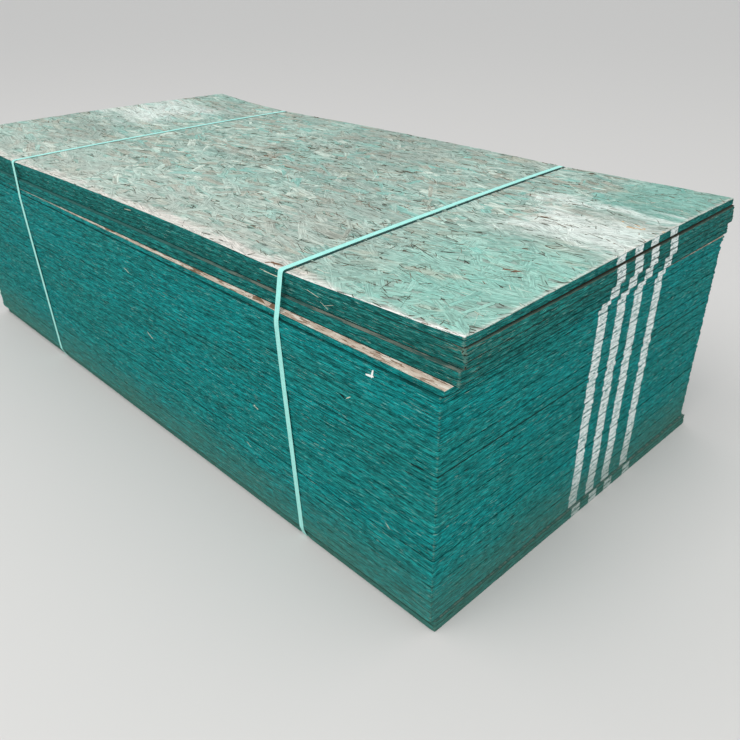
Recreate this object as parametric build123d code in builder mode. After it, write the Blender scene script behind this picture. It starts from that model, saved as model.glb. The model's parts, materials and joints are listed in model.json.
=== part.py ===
"""A strapped unit of oriented strand board sheets, lying flat as it is stored.

All sizes are in millimetres. +Z is up, +X runs along the sheets towards the end
that carries the edge stripes, and -Y is the long side that shows the bare ledge.
The origin is on the floor, under the middle of the whole stack.
"""
import os
from collections import namedtuple
from math import cos, hypot, radians, sin, tan

from build123d import *

os.makedirs("parts", exist_ok=True)

# The sheets, as they are sold
sheet_length = 2438.4
sheet_width = 1219.2
sheet_thickness = 15.08
edge_ease = 0.7

# Rain has swollen the sheets of the upper lifts, and the top one most
damp_thickness = 15.9
soaked_thickness = 18.4

# Handling has slid the sheets of one lift a little on each other
jostle = 1.1
jostle_step_x = 2.4
jostle_step_y = 3.9

# The lifts from the floor up. The near corner of each lift, at +X and -Y, has slid
# along X and Y against the main lift, and the lift has turned about that corner.
Lift = namedtuple("Lift", "sheets thickness slide_x slide_y turn")
lifts = [
    Lift(sheets=2, thickness=sheet_thickness, slide_x=6.0, slide_y=8.0, turn=-0.15),
    Lift(sheets=27, thickness=sheet_thickness, slide_x=0.0, slide_y=0.0, turn=0.0),
    Lift(sheets=12, thickness=sheet_thickness, slide_x=1.0, slide_y=-4.0, turn=-0.03),
    Lift(sheets=1, thickness=sheet_thickness, slide_x=3.5, slide_y=2.5, turn=0.1),
    Lift(sheets=2, thickness=damp_thickness, slide_x=14.5, slide_y=32.0, turn=0.88),
    Lift(sheets=2, thickness=damp_thickness, slide_x=16.0, slide_y=45.0, turn=0.87),
    Lift(sheets=1, thickness=damp_thickness, slide_x=15.5, slide_y=39.5, turn=0.85),
]

# The top sheet has slid and turned too, and it has warped: its near end arches between
# its corners, and beyond the far strap its end has curled up, most in the middle
top_slide_x = 12.5
top_slide_y = 41.5
top_turn = 1.05
top_arch = 6.0
arch_points = 12
curl_length = 430.0
curl_front = 25.0
curl_middle = 28.0
curl_back = 20.5
curl_halfway = 0.3

# Flat plastic strapping, pulled tight round the stack and welded end over end
strap_width = 16.0
strap_thickness = 0.9
strap_gap = 0.15
strap_bend = 9.0
straight_within = 0.05
bite_gap = 0.6
lap_height = 330.0
lap_length = 45.0

# Where a strap lies: its X on the floor, at the bare ledge and at the top of the
# front, and how far it drifts along X for each millimetre towards the back
StrapRun = namedtuple("StrapRun", "name floor_x ledge_x top_x drift")
strap_runs = [
    StrapRun(name="strap_near_end", floor_x=772.0, ledge_x=727.0, top_x=711.0, drift=-0.048),
    StrapRun(name="strap_far_end", floor_x=-651.0, ledge_x=-708.0, top_x=-724.0, drift=-0.027),
]

# A seat is the place of one sheet's near lower corner, and how the sheet is turned there
Seat = namedtuple("Seat", "x y z thickness turn")


def loose_seats():
    """The seats from the floor up, with the main lift's middle over the origin."""
    seats = []
    height = 0.0
    for lift in lifts:
        for _ in range(lift.sheets):
            count = len(seats) + 1
            x = sheet_length / 2 + lift.slide_x + jostle * sin(jostle_step_x * count)
            y = -sheet_width / 2 + lift.slide_y + jostle * sin(jostle_step_y * count)
            seats.append(Seat(x, y, height, lift.thickness, lift.turn))
            height += lift.thickness
    x = sheet_length / 2 + top_slide_x
    y = -sheet_width / 2 + top_slide_y
    seats.append(Seat(x, y, height, soaked_thickness, top_turn))
    return seats


def corners_of(seat):
    """The four corners of a sheet, seen from above."""
    along = (cos(radians(seat.turn)), sin(radians(seat.turn)))
    corners = []
    for length in (0, sheet_length):
        for width in (0, sheet_width):
            x = seat.x - length * along[0] - width * along[1]
            y = seat.y - length * along[1] + width * along[0]
            corners.append((x, y))
    return corners


def centred(seats):
    """The same seats, moved so that the whole stack's middle is over the origin."""
    corners = [corner for seat in seats for corner in corners_of(seat)]
    middle_x = (min(x for x, y in corners) + max(x for x, y in corners)) / 2
    middle_y = (min(y for x, y in corners) + max(y for x, y in corners)) / 2
    return [seat._replace(x=seat.x - middle_x, y=seat.y - middle_y) for seat in seats]


seats = centred(loose_seats())
top_seat = seats[-1]
dry_lifts = [lift for lift in lifts if lift.thickness == sheet_thickness]
ledge_height = sum(lift.sheets * lift.thickness for lift in dry_lifts)
top_height = top_seat.z + soaked_thickness
front_y = min(seat.y for seat in seats)
reach = sheet_width + 2 * (max(seat.y for seat in seats) - front_y)


def strap_x(run, y, z):
    """The X of a strap's middle line at this Y and height."""
    if z < ledge_height:
        share = z / ledge_height
        x = run.floor_x + share * (run.ledge_x - run.floor_x)
    else:
        share = (z - ledge_height) / (top_height - ledge_height)
        x = run.ledge_x + share * (run.top_x - run.ledge_x)
    return x + run.drift * (y - front_y)


def edges_at(seat, x):
    """The Y of a sheet's two long edges where they pass this X."""
    front = seat.y - (seat.x - x) * tan(radians(seat.turn))
    return front, front + sheet_width / cos(radians(seat.turn))


def points_under(run):
    """The points of the stack that a strap could lie on, as (Y, height)."""
    points = []
    for seat in seats:
        low = max(seat.z, strap_thickness + strap_gap)
        for z in (low, seat.z + seat.thickness):
            for side in (0, 1):
                rough = edges_at(seat, run.floor_x)[side]
                points.append((edges_at(seat, strap_x(run, rough, z))[side], z))
    front, back = edges_at(top_seat, run.top_x)
    for step in range(1, arch_points):
        share = step / arch_points
        rise = 4 * top_arch * share * (1 - share)
        points.append((front + share * (back - front), top_height + rise))
    return points


def stands_out(first, middle, last):
    """How far the middle point stands out to the right of the line from first to last."""
    along = (last[0] - first[0], last[1] - first[1])
    step = (middle[0] - first[0], middle[1] - first[1])
    return (along[1] * step[0] - along[0] * step[1]) / hypot(*along)


def half_round(ordered):
    """One half of the line round the points, from the first of them to the last."""
    chain = []
    for point in ordered:
        while len(chain) > 1 and stands_out(chain[-2], chain[-1], point) < straight_within:
            chain.pop()
        chain.append(point)
    return chain[:-1]


def pulled_tight(points):
    """The shortest closed line round the points, which is how a tight strap lies."""
    ordered = sorted(points)
    return half_round(ordered) + half_round(ordered[::-1])


def space_inside(run):
    """The face that a strap goes round, seen from the end, with its four sharp turns rounded."""
    with BuildSketch() as inside:
        with BuildLine():
            Polyline(*pulled_tight(points_under(run)), close=True)
        make_face()
        offset(amount=strap_gap, kind=Kind.INTERSECTION)
        box = inside.sketch.bounding_box()
        for y in (box.min.X, box.max.X):
            for z in (box.min.Y, box.max.Y):
                corner = inside.vertices().sort_by_distance(Vector(y, z, 0))[0]
                fillet(corner, radius=strap_bend)
    return inside.sketch


def band_outline(run, half_width):
    """The corners of the strip that a strap keeps to, seen from the front, as (X, height)."""
    heights = (-strap_bend, ledge_height, top_height + strap_bend)
    left = [(strap_x(run, -reach, z) - half_width, z) for z in heights]
    right = [(strap_x(run, -reach, z) + half_width, z) for z in heights]
    return left + right[::-1]


def in_band(run, half_width, face):
    """A solid with this face for its section, seen from the end, that keeps to a strap's strip."""
    with BuildPart() as solid:
        with BuildSketch(Plane.XZ.offset(reach)):
            with BuildLine():
                Polyline(*band_outline(run, half_width), close=True)
            make_face()
        extrude(amount=2 * reach, dir=(run.drift, 1, 0))
        with BuildSketch(Plane.YZ.offset(-sheet_length / 2)):
            add(face)
        extrude(amount=sheet_length, mode=Mode.INTERSECT)
    return solid.part


def strap_face(inside):
    """The strap seen from the end: a closed ring, doubled where its ends are welded."""
    with BuildSketch() as lap:
        add(inside)
        offset(amount=2 * strap_thickness, kind=Kind.INTERSECTION)
        with Locations((reach / 2, lap_height)):
            Rectangle(reach, lap_length, mode=Mode.INTERSECT)
    with BuildSketch() as ring:
        add(inside)
        offset(amount=strap_thickness, kind=Kind.INTERSECTION)
        add(lap.sketch)
        add(inside, mode=Mode.SUBTRACT)
    return ring.sketch


def bite_face(inside):
    """All that lies outside the strap's path, seen from the end."""
    with BuildSketch() as outside:
        with Locations((0, top_height / 2)):
            Rectangle(2 * reach, 2 * top_height)
        add(inside, mode=Mode.SUBTRACT)
    return outside.sketch


def warped_section(plane, front, middle, back):
    """A face across the top sheet, where its underside is lifted by these heights."""
    with BuildSketch(plane) as section:
        with BuildLine():
            low = [(0, front), (sheet_width / 2, middle), (sheet_width, back)]
            high = [(y, z + soaked_thickness) for y, z in low]
            ThreePointArc(*low)
            Line(low[-1], high[-1])
            ThreePointArc(*high[::-1])
            Line(high[0], low[0])
        make_face()
    return section.sketch


# The straps' paths first, because their edges bite into the sheets
insides = [space_inside(run) for run in strap_runs]
bites = [
    in_band(run, strap_width / 2 + bite_gap, bite_face(inside))
    for run, inside in zip(strap_runs, insides)
]

# The flat sheets, one solid each, from the floor up
for number, seat in enumerate(seats[:-1], start=1):
    with BuildPart() as sheet:
        with Locations(Location((seat.x, seat.y, seat.z), (0, 0, seat.turn))):
            Box(
                sheet_length,
                sheet_width,
                seat.thickness,
                align=(Align.MAX, Align.MIN, Align.MIN),
            )
        chamfer(sheet.edges(), length=edge_ease)
        for bite in bites:
            add(bite, mode=Mode.SUBTRACT)
    sheet.part.label = f"sheet_{number:02d}"
    export_step(sheet.part, f"parts/{sheet.part.label}.step")

# The warped top sheet, lofted from its far end over the start of the curl to its near end
across = Vector(0, 1, 0).rotate(Axis.Z, top_turn)
near_corner = Vector(top_seat.x, top_seat.y, top_seat.z)
with BuildPart() as top_sheet:
    for length, front, middle, back in (
        (sheet_length, curl_front, curl_middle, curl_back),
        (
            sheet_length - curl_length / 2,
            curl_halfway * curl_front,
            top_arch + curl_halfway * (curl_middle - top_arch),
            curl_halfway * curl_back,
        ),
        (sheet_length - curl_length, 0, top_arch, 0),
        (0, 0, top_arch, 0),
    ):
        corner = near_corner + Vector(-length, 0, 0).rotate(Axis.Z, top_turn)
        plane = Plane(origin=corner, x_dir=across, z_dir=across.cross(Vector(0, 0, 1)))
        add(warped_section(plane, front, middle, back))
    loft(ruled=True)
    for bite in bites:
        add(bite, mode=Mode.SUBTRACT)
top_sheet.part.label = f"sheet_{len(seats):02d}"
export_step(top_sheet.part, f"parts/{top_sheet.part.label}.step")

# The two straps
for run, inside in zip(strap_runs, insides):
    with BuildPart() as strap:
        add(in_band(run, strap_width / 2, strap_face(inside)))
    strap.part.label = run.name
    export_step(strap.part, f"parts/{run.name}.step")
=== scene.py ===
# %% [markdown]
# ## A strapped stack of strand board, seen from one corner
# The real object is forty-eight sheets of oriented strand board, as a mill ships them: pressed wood
# strands, edges sealed with teal paint, tied crosswise with two flat straps. Each sheet could stay the
# plain solid of the frame, but what makes such a stack look real is its rough cut edges and its
# weathered top. So every sheet is modelled again at the place where the frame holds it.

# %% Load the frame
import json
from collections import namedtuple
from math import atan2, pi, radians

import bmesh
import bpy
import numpy as np
from mathutils import Matrix, Vector
from mathutils.bvhtree import BVHTree

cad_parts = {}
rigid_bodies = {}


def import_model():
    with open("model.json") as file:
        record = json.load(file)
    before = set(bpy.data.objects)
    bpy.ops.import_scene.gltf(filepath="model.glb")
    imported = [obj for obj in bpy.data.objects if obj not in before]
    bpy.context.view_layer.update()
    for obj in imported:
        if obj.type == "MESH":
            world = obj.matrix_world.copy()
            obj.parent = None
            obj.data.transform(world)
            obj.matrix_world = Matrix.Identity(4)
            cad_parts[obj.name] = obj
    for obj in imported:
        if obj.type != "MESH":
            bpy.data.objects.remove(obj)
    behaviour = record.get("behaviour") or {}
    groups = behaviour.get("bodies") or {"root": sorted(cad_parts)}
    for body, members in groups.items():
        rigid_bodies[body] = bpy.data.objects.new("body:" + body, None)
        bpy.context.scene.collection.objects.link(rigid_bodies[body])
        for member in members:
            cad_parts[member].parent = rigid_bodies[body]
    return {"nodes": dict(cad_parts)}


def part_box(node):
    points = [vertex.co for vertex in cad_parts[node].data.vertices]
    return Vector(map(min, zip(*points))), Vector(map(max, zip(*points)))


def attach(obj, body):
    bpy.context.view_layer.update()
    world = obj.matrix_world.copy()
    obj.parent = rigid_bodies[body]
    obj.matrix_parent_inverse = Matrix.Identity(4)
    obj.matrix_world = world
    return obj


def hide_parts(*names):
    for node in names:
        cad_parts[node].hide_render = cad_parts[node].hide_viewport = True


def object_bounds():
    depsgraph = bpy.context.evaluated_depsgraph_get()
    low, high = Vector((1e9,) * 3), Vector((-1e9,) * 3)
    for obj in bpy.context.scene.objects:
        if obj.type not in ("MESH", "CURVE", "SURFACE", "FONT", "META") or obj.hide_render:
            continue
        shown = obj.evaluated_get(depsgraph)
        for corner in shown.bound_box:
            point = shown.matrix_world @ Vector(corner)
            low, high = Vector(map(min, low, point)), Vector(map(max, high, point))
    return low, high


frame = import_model()
cad_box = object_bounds()
print("the stack's box in metres:", cad_box)

# %% [markdown]
# ### The camera
# The picture was taken a little over a metre from the near corner, looking down on it. The place and
# the lens could be guessed and turned until they look right, but here they were measured beforehand,
# from the corners of the sheets, whose real size is known. A camera looks along its own -Z, so its
# three angles are set as tilt up from straight down, roll, and turn round the vertical.

# %% Place the camera
camera_place = Vector((1.9595, -1.5376, 1.3348))
camera_azimuth = radians(45.75)
camera_elevation = radians(29.30)
camera_roll = radians(-0.31)

camera_data = bpy.data.cameras.new("camera")
camera_data.lens = 36.07
camera_data.sensor_width = 36.0
camera_data.clip_start = 0.05
camera = bpy.data.objects.new("camera", camera_data)
bpy.context.scene.collection.objects.link(camera)
camera.matrix_world = (
    Matrix.Translation(camera_place)
    @ Matrix.Rotation(camera_azimuth, 4, "Z")
    @ Matrix.Rotation(pi / 2 - camera_elevation, 4, "X")
    @ Matrix.Rotation(camera_roll, 4, "Z")
)
bpy.context.scene.camera = camera
print("the camera stands", round(camera_place.z, 2), "m above the floor")

# %% [markdown]
# ### The floor
# The stack needs a floor to stand on, so that its foot gets a soft shadow. One large plane with a plain
# pale paint is enough, and it doesn't draw the eye from the stack.

# %% Lay the floor
floor_size = 60

bpy.ops.object.select_all(action="DESELECT")
bpy.ops.mesh.primitive_plane_add(size=floor_size)
floor = bpy.context.object
floor.name = "floor"

floor_paint = bpy.data.materials.new("floor_paint")
floor_paint.use_nodes = True
paint_shader = floor_paint.node_tree.nodes["Principled BSDF"]
paint_shader.inputs["Base Color"].default_value = (0.62, 0.60, 0.58, 1)
paint_shader.inputs["Roughness"].default_value = 0.9
floor.data.materials.append(floor_paint)
print("laid a floor", floor_size, "m wide")

# %% [markdown]
# ### The light
# The stack was photographed outdoors under a thin, even cloud: the top is bright, the sides are darker
# and there are hardly any shadows. An evenly lit world does most of this, and one large soft light
# from above the front makes the top brighter than the sides.

# %% Light the scene
world = bpy.data.worlds.new("overcast")
bpy.context.scene.world = world
world.use_nodes = True
sky = world.node_tree.nodes["Background"]
sky.inputs["Color"].default_value = (0.95, 0.98, 1.0, 1)
sky.inputs["Strength"].default_value = 0.9
bpy.context.scene.view_settings.view_transform = "Standard"


def soft_light(name, place, target, size, power):
    """A square area light, aimed at a point."""
    data = bpy.data.lights.new(name, "AREA")
    data.size = size
    data.energy = power
    light = bpy.data.objects.new(name, data)
    light.location = place
    light.rotation_euler = (Vector(target) - Vector(place)).to_track_quat("-Z", "Y").to_euler()
    bpy.context.scene.collection.objects.link(light)
    return light


sky_light = soft_light("sky_light", (1.0, -4.0, 7.0), (0, 0, 0.4), 6.0, 300)
print("one soft light", sky_light.data.size, "m wide")

# %% [markdown]
# ### Where the sheets lie
# The lifts of the stack have slid and turned on each other, so no two lifts share a place. The places
# could be typed in again, but the frame already holds them: a sheet's middle is the middle of its box,
# its turn is the direction of its front edge, and its height is its box's height.

# %% Read the seats
Seat = namedtuple("Seat", "x y turn low high")
sheet_names = sorted(name for name in frame["nodes"] if name.startswith("sheet_"))


def read_seat(name):
    """The middle, turn and height of a sheet in the frame."""
    node = frame["nodes"][name]
    points = np.array([tuple(vertex.co) for vertex in node.data.vertices])
    right = points[np.argmax(points[:, 0] - points[:, 1])]
    left = points[np.argmin(points[:, 0] + points[:, 1])]
    turn = atan2(right[1] - left[1], right[0] - left[0])
    low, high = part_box(name)
    return Seat((low[0] + high[0]) / 2, (low[1] + high[1]) / 2, turn, low[2], high[2])


seats = {name: read_seat(name) for name in sheet_names}
frame_top = cad_box[1][2]
flat_low, flat_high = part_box("sheet_10")
length = flat_high[0] - flat_low[0]
width = flat_high[1] - flat_low[1]
thickness = flat_high[2] - flat_low[2]
top_name = sheet_names[-1]
print(len(seats), "sheets of", length, width, thickness)
print("the top sheet lies at", seats[top_name])

# %% [markdown]
# ### Where the straps lie
# Each strap is a closed ring. The line that it follows is read from the inner faces of its solid, which
# point towards the middle of the ring. The solid's points come in small groups across the strap, and
# each group gives one point of the line, in its middle. The same line later bends the modelled strap,
# and it presses in the edges of the sheets under it.

# %% Read the straps' lines
StrapLine = namedtuple("StrapLine", "points outward half_width")
same_point = 0.0006


def read_strap(name):
    """The inner line of a strap as points in order, and the outward direction at each."""
    mesh = frame["nodes"][name].data
    low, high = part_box(name)
    middle = Vector((0, (low[1] + high[1]) / 2, (low[2] + high[2]) / 2))
    found = {}
    for face in mesh.polygons:
        inward = middle - face.center
        inward.x = 0
        if face.normal.dot(inward.normalized()) > 0.3:
            for index in face.vertices:
                x, y, z = mesh.vertices[index].co
                found.setdefault((round(y, 4), round(z, 4)), []).append(x)
    ordered = sorted(found, key=lambda place: atan2(place[1] - middle.z, place[0] - middle.y))
    groups = []
    for place in ordered:
        if groups and np.hypot(*np.subtract(place, groups[-1][0])) < same_point:
            groups[-1].append(place)
        else:
            groups.append([place])
    points, spreads = [], []
    for group in groups:
        xs = [x for place in group for x in found[place]]
        spreads.append(max(xs) - min(xs))
        if spreads[-1] > same_point:
            points.append(((min(xs) + max(xs)) / 2, *np.mean(group, axis=0)))
    points, spread = np.array(points), max(spreads)
    ahead = np.roll(points, -1, axis=0) - np.roll(points, 1, axis=0)
    outward = np.stack([np.zeros(len(points)), ahead[:, 2], -ahead[:, 1]], axis=1)
    outward /= np.linalg.norm(outward, axis=1, keepdims=True)
    return StrapLine(points, outward, spread / 2)


strap_names = sorted(name for name in frame["nodes"] if name.startswith("strap_"))
strap_lines = {name: read_strap(name) for name in strap_names}
for name, line in strap_lines.items():
    print(name, len(line.points), "points, half width", round(line.half_width, 4))

# %% [markdown]
# ### A strap's place beside a sheet
# The straps lean along the stack, so their X changes with the height, and it isn't the same at the
# front and at the back. A formula could repeat how they lean, but reading it off their own lines also
# holds when the frame changes.

# %% Find a strap beside a point
def strap_x(line, points):
    """The X of a strap beside each point, on the side of the stack where the point lies."""
    sides = []
    for side in (line.points[line.points[:, 1] < 0], line.points[line.points[:, 1] > 0]):
        order = np.argsort(side[:, 2])
        sides.append(np.interp(points[:, 2], side[order, 2], side[order, 0]))
    return np.where(points[:, 1] < 0, *sides)


strap_tops = [
    strap_x(line, np.array([[0, side, frame_top]]))[0] for line in strap_lines.values() for side in (-1, 1)
]
print("the straps cross the top's edges at", [round(float(x), 3) for x in strap_tops])

# %% [markdown]
# ### Which edges of a sheet are divided
# The roughness of a cut edge needs points to move, most of all at the upright corners, which get
# knocked, and where a strap bites. The flat faces hardly need any. By hand one would click those edges,
# and here they are selected in edit mode by their place and direction.

# %% Select edges by their place
arris = 0.0004
divided_reach = 0.03


def pick_edges(piece, wanted):
    """In edit mode, select the edges for which wanted(middle, direction) is true."""
    bpy.ops.mesh.select_mode(type="EDGE")
    bpy.ops.mesh.select_all(action="DESELECT")
    shape = bmesh.from_edit_mesh(piece.data)
    for edge in shape.edges:
        first, last = (vertex.co for vertex in edge.verts)
        edge.select = wanted((first + last) / 2, (last - first).normalized())
    shape.select_flush_mode()
    bmesh.update_edit_mesh(piece.data)


def on_wall(middle, along):
    """True for a level edge that lies along a wall or its rim."""
    near_side = abs(middle.y) > width / 2 - 2 * arris and abs(along.x) > 0.99
    near_end = abs(middle.x) > length / 2 - 2 * arris and abs(along.y) > 0.99
    return near_side or near_end


def near_upright(middle, along):
    """True for a wall's level edge near an upright corner."""
    from_end = length / 2 - abs(middle.x)
    from_side = width / 2 - abs(middle.y)
    return on_wall(middle, along) and from_end < divided_reach and from_side < divided_reach


def near_strap(middle, along):
    """True for a long wall's edge near a strap."""
    near = any(abs(middle.x - x) < divided_reach for x in strap_tops)
    return near and abs(along.x) > 0.99 and on_wall(middle, along)


print("the walls are divided finely within", divided_reach, "m of a corner or a strap")

# %% [markdown]
# ### A blank sheet
# A saw cuts every sheet to the same size, so one blank is modelled and copied. It starts as a block
# whose rim edges are bevelled, and its walls are then divided into fine rows and columns. A second
# blank, for the top sheet, has its flat faces in many cells too, because that sheet has warped.

# %% Model the blank
wall_rows = 5
finer = 4


def make_blank(name, cells_x, cells_y, columns):
    """A sheet with its middle at the origin, flat faces in cells and finely divided walls."""
    bpy.ops.object.select_all(action="DESELECT")
    bpy.ops.mesh.primitive_cube_add(size=1)
    piece = bpy.context.object
    piece.name = name
    piece.scale = (length, width, thickness)
    bpy.ops.object.transform_apply(scale=True)
    bpy.ops.object.mode_set(mode="EDIT")
    pick_edges(piece, lambda middle, along: abs(along.z) < 0.5)
    bpy.ops.mesh.bevel(offset=arris, segments=1)
    pick_edges(piece, lambda middle, along: abs(along.x) > 0.99)
    bpy.ops.mesh.subdivide(number_cuts=cells_x - 1)
    pick_edges(piece, lambda middle, along: abs(along.y) > 0.99)
    bpy.ops.mesh.subdivide(number_cuts=cells_y - 1)
    pick_edges(piece, lambda middle, along: abs(along.z) > 0.99)
    bpy.ops.mesh.subdivide(number_cuts=wall_rows - 1)
    pick_edges(piece, on_wall)
    bpy.ops.mesh.subdivide(number_cuts=columns - 1)
    pick_edges(piece, lambda middle, along: near_upright(middle, along) or near_strap(middle, along))
    bpy.ops.mesh.subdivide(number_cuts=finer - 1)
    bpy.ops.object.mode_set(mode="OBJECT")
    return piece


blank = make_blank("blank_sheet", 4, 2, 50)
fine_blank = make_blank("fine_blank_sheet", 48, 24, 4)
print("faces of the blanks:", len(blank.data.polygons), len(fine_blank.data.polygons))

# %% [markdown]
# ### Small helpers for meshes
# Every piece here is copied, read, moved or given notes for its material. A note is an attribute: one
# vector for each point, such as where the point lay on its own sheet. Doing this point by point is slow
# in Python, so the helpers pass all points at once as an array.

# %% Mesh helpers
def copy_of(original, name):
    """A copy with its own mesh."""
    piece = original.copy()
    piece.data = original.data.copy()
    piece.name = name
    bpy.context.scene.collection.objects.link(piece)
    return piece


def note_vector(piece, name, values):
    """Keep one vector for each point, for the materials to read."""
    layer = piece.data.attributes.new(name, "FLOAT_VECTOR", "POINT")
    layer.data.foreach_set("vector", np.asarray(values, dtype=np.float32).ravel())


def points_of(piece):
    """The points of a piece, one row each."""
    flat = np.empty(3 * len(piece.data.vertices), dtype=np.float32)
    piece.data.vertices.foreach_get("co", flat)
    return flat.reshape(-1, 3).astype(float)


def set_points(piece, points):
    """Move the points of a piece."""
    piece.data.vertices.foreach_set("co", points.astype(np.float32).ravel())
    piece.data.update()


print("points of the blanks:", len(points_of(blank)), len(points_of(fine_blank)))

# %% [markdown]
# ### What has worn the edges
# A sawn edge of strand board is never flat: strands break out, layers stand back and the corners chip.
# So there are three procedural textures, for thin layers, chips and knocked corners, each with the
# depth that it cuts and its own stretch, long along the sheet and thin in height, as the layers are.
# An empty carries the stretch, because a modifier can read a texture in another object's coordinates.

# %% Describe the wear
def clouds(name, contrast, brightness):
    """A procedural texture of soft lumps."""
    texture = bpy.data.textures.new(name, "CLOUDS")
    texture.noise_scale = 1.0
    texture.noise_depth = 3
    texture.contrast = contrast
    texture.intensity = brightness
    return texture


Wear = namedtuple("Wear", "texture group depth stretch")
wears = [
    Wear(clouds("layers", 2.2, 1.0), "walls", 0.0008, (0.04, 0.04, 0.0022)),
    Wear(clouds("chips", 4.5, 2.0), "walls", 0.0020, (0.018, 0.018, 0.004)),
    Wear(clouds("knocks", 3.0, 1.05), "uprights", 0.0032, (0.010, 0.010, 0.007)),
]
pattern_place = bpy.data.objects.new("pattern_place", None)
bpy.context.scene.collection.objects.link(pattern_place)
print("wear up to", max(wear.depth for wear in wears), "m deep, of", len(wears), "kinds")

# %% [markdown]
# ### Where the wear works
# Only the walls of a sheet are worn, and its upright corners most. Vertex groups say so to the
# modifiers, with a weight for each point: a rim point moves less than one in the middle of a wall, and
# a corner's wear fades within a centimetre.

# %% Weigh the points
rim_weight = 0.35
corner_reach = 0.009


def group_points(piece):
    """Name the points of the walls, and weigh those near the upright corners."""
    walls = piece.vertex_groups.new(name="walls")
    uprights = piece.vertex_groups.new(name="uprights")
    for vertex in piece.data.vertices:
        from_end = length / 2 - abs(vertex.co.x)
        from_side = width / 2 - abs(vertex.co.y)
        if min(from_end, from_side) < 2 * arris:
            on_rim = abs(vertex.co.z) > thickness / 2 - 2 * arris
            walls.add([vertex.index], rim_weight if on_rim else 1.0, "REPLACE")
            reach = max(0.0, 1 - max(from_end, from_side) / corner_reach)
            uprights.add([vertex.index], reach, "REPLACE")


group_points(blank)
group_points(fine_blank)
print("named the groups", [group.name for group in blank.vertex_groups])

# %% [markdown]
# ### Rough edges
# A Displace modifier moves each point along its normal by the value of a texture. What it would push
# outwards is cut off at the saw's plane, so a sheet never grows past its size. The empty moves between
# sheets, so no two edges look the same. Then each copy gets its thickness, turn and place.

# %% Roughen and place the flat sheets
def roughen(piece, number):
    """Push the walls of a piece in with each kind of wear, with a pattern of its own."""
    bpy.context.view_layer.objects.active = piece
    for wear in wears:
        pattern_place.scale = wear.stretch
        pattern_place.location = (0.37 * number, 0.61 * number, 0.113 * number)
        bpy.context.view_layer.update()
        push = piece.modifiers.new("push", "DISPLACE")
        push.texture = wear.texture
        push.texture_coords = "OBJECT"
        push.texture_coords_object = pattern_place
        push.vertex_group = wear.group
        push.strength = wear.depth
        push.mid_level = 1.0
        bpy.ops.object.modifier_apply(modifier="push")
    half = np.array((length, width, thickness)) / 2
    set_points(piece, np.clip(points_of(piece), -half, half))


sheets = {}
for number, name in enumerate(sheet_names[:-1], start=1):
    seat = seats[name]
    piece = copy_of(blank, "rough_" + name)
    roughen(piece, number)
    piece.data.transform(Matrix.Diagonal((1, 1, (seat.high - seat.low) / thickness, 1)))
    note_vector(piece, "own", points_of(piece))
    piece.data.transform(
        Matrix.Translation((seat.x, seat.y, (seat.low + seat.high) / 2))
        @ Matrix.Rotation(seat.turn, 4, "Z")
    )
    sheets[name] = piece
print("roughened", len(sheets), "sheets with", sum(len(s.data.polygons) for s in sheets.values()), "faces")

# %% [markdown]
# ### Small helpers for node materials
# Every finish here is procedural, so each is a tree of shader nodes. One short function adds a node
# and plugs in its inputs, and a few more name the nodes that come back again and again: a stretched
# noise, a soft step between two values, a sum, a mix of two colours and a change of brightness.

# %% Node helpers
def put(tree, kind, settings=None, **inputs):
    """Add a node. An input named i2 is the third one, and a value may be another node's output."""
    made = tree.nodes.new(kind)
    for key, value in (settings or {}).items():
        setattr(made, key, value)
    for key, value in inputs.items():
        socket = made.inputs[int(key[1:])] if key[1:].isdigit() else made.inputs[key]
        if isinstance(value, bpy.types.NodeSocket):
            tree.links.new(value, socket)
        else:
            socket.default_value = value
    return made


def noise(tree, place, stretch, detail=3.0, roughness=0.6):
    """Noise with so many lumps to the metre along each axis."""
    scaled = put(tree, "ShaderNodeVectorMath", {"operation": "MULTIPLY"}, i0=place, i1=stretch)
    return put(tree, "ShaderNodeTexNoise", Vector=scaled.outputs[0], Scale=1.0, Detail=detail,
               Roughness=roughness).outputs["Fac"]


def step(tree, value, low, high, start=0.0, end=1.0):
    """Goes softly from start to end while value goes from low to high."""
    made = put(tree, "ShaderNodeMapRange", {"interpolation_type": "SMOOTHSTEP"}, i0=value, i1=low, i2=high,
               i3=start, i4=end)
    return made.outputs[0]


def maths(tree, operation, first, second=0.5, third=0.5):
    """One sum of up to three numbers."""
    return put(tree, "ShaderNodeMath", {"operation": operation}, i0=first, i1=second, i2=third).outputs[0]


def mix(tree, share, first, second, blend="MIX"):
    """Colour first where share is 0, second where it is 1."""
    made = put(tree, "ShaderNodeMix", {"data_type": "RGBA", "blend_type": blend}, i0=share)
    for index, colour in ((6, first), (7, second)):
        if isinstance(colour, bpy.types.NodeSocket):
            tree.links.new(colour, made.inputs[index])
        else:
            made.inputs[index].default_value = (*colour, 1)
    return made.outputs[2]


def brighten(tree, colour, bright):
    """The colour times a number."""
    grey = put(tree, "ShaderNodeCombineColor", i0=bright, i1=bright, i2=bright).outputs[0]
    return mix(tree, 1.0, colour, grey, "MULTIPLY")


common_nodes = (noise, step, maths, mix, brighten)
print("helpers for nodes:", [helper.__name__ for helper in common_nodes])

# %% [markdown]
# ### Starting and ending a finish
# Each finish starts with the place of every point and the shader, and ends with a colour and often a
# fine relief on the shader. What a piece noted about its points comes back as three numbers.

# %% Finish helpers
def new_finish(name, roughness, shine=0.1):
    """A material with its tree, the place of each point, and its shader."""
    made = bpy.data.materials.new(name)
    made.use_nodes = True
    tree = made.node_tree
    shader = tree.nodes["Principled BSDF"]
    shader.inputs["Roughness"].default_value = roughness
    shader.inputs["Specular IOR Level"].default_value = shine
    place = put(tree, "ShaderNodeTexCoord").outputs["Object"]
    return made, tree, place, shader


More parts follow.
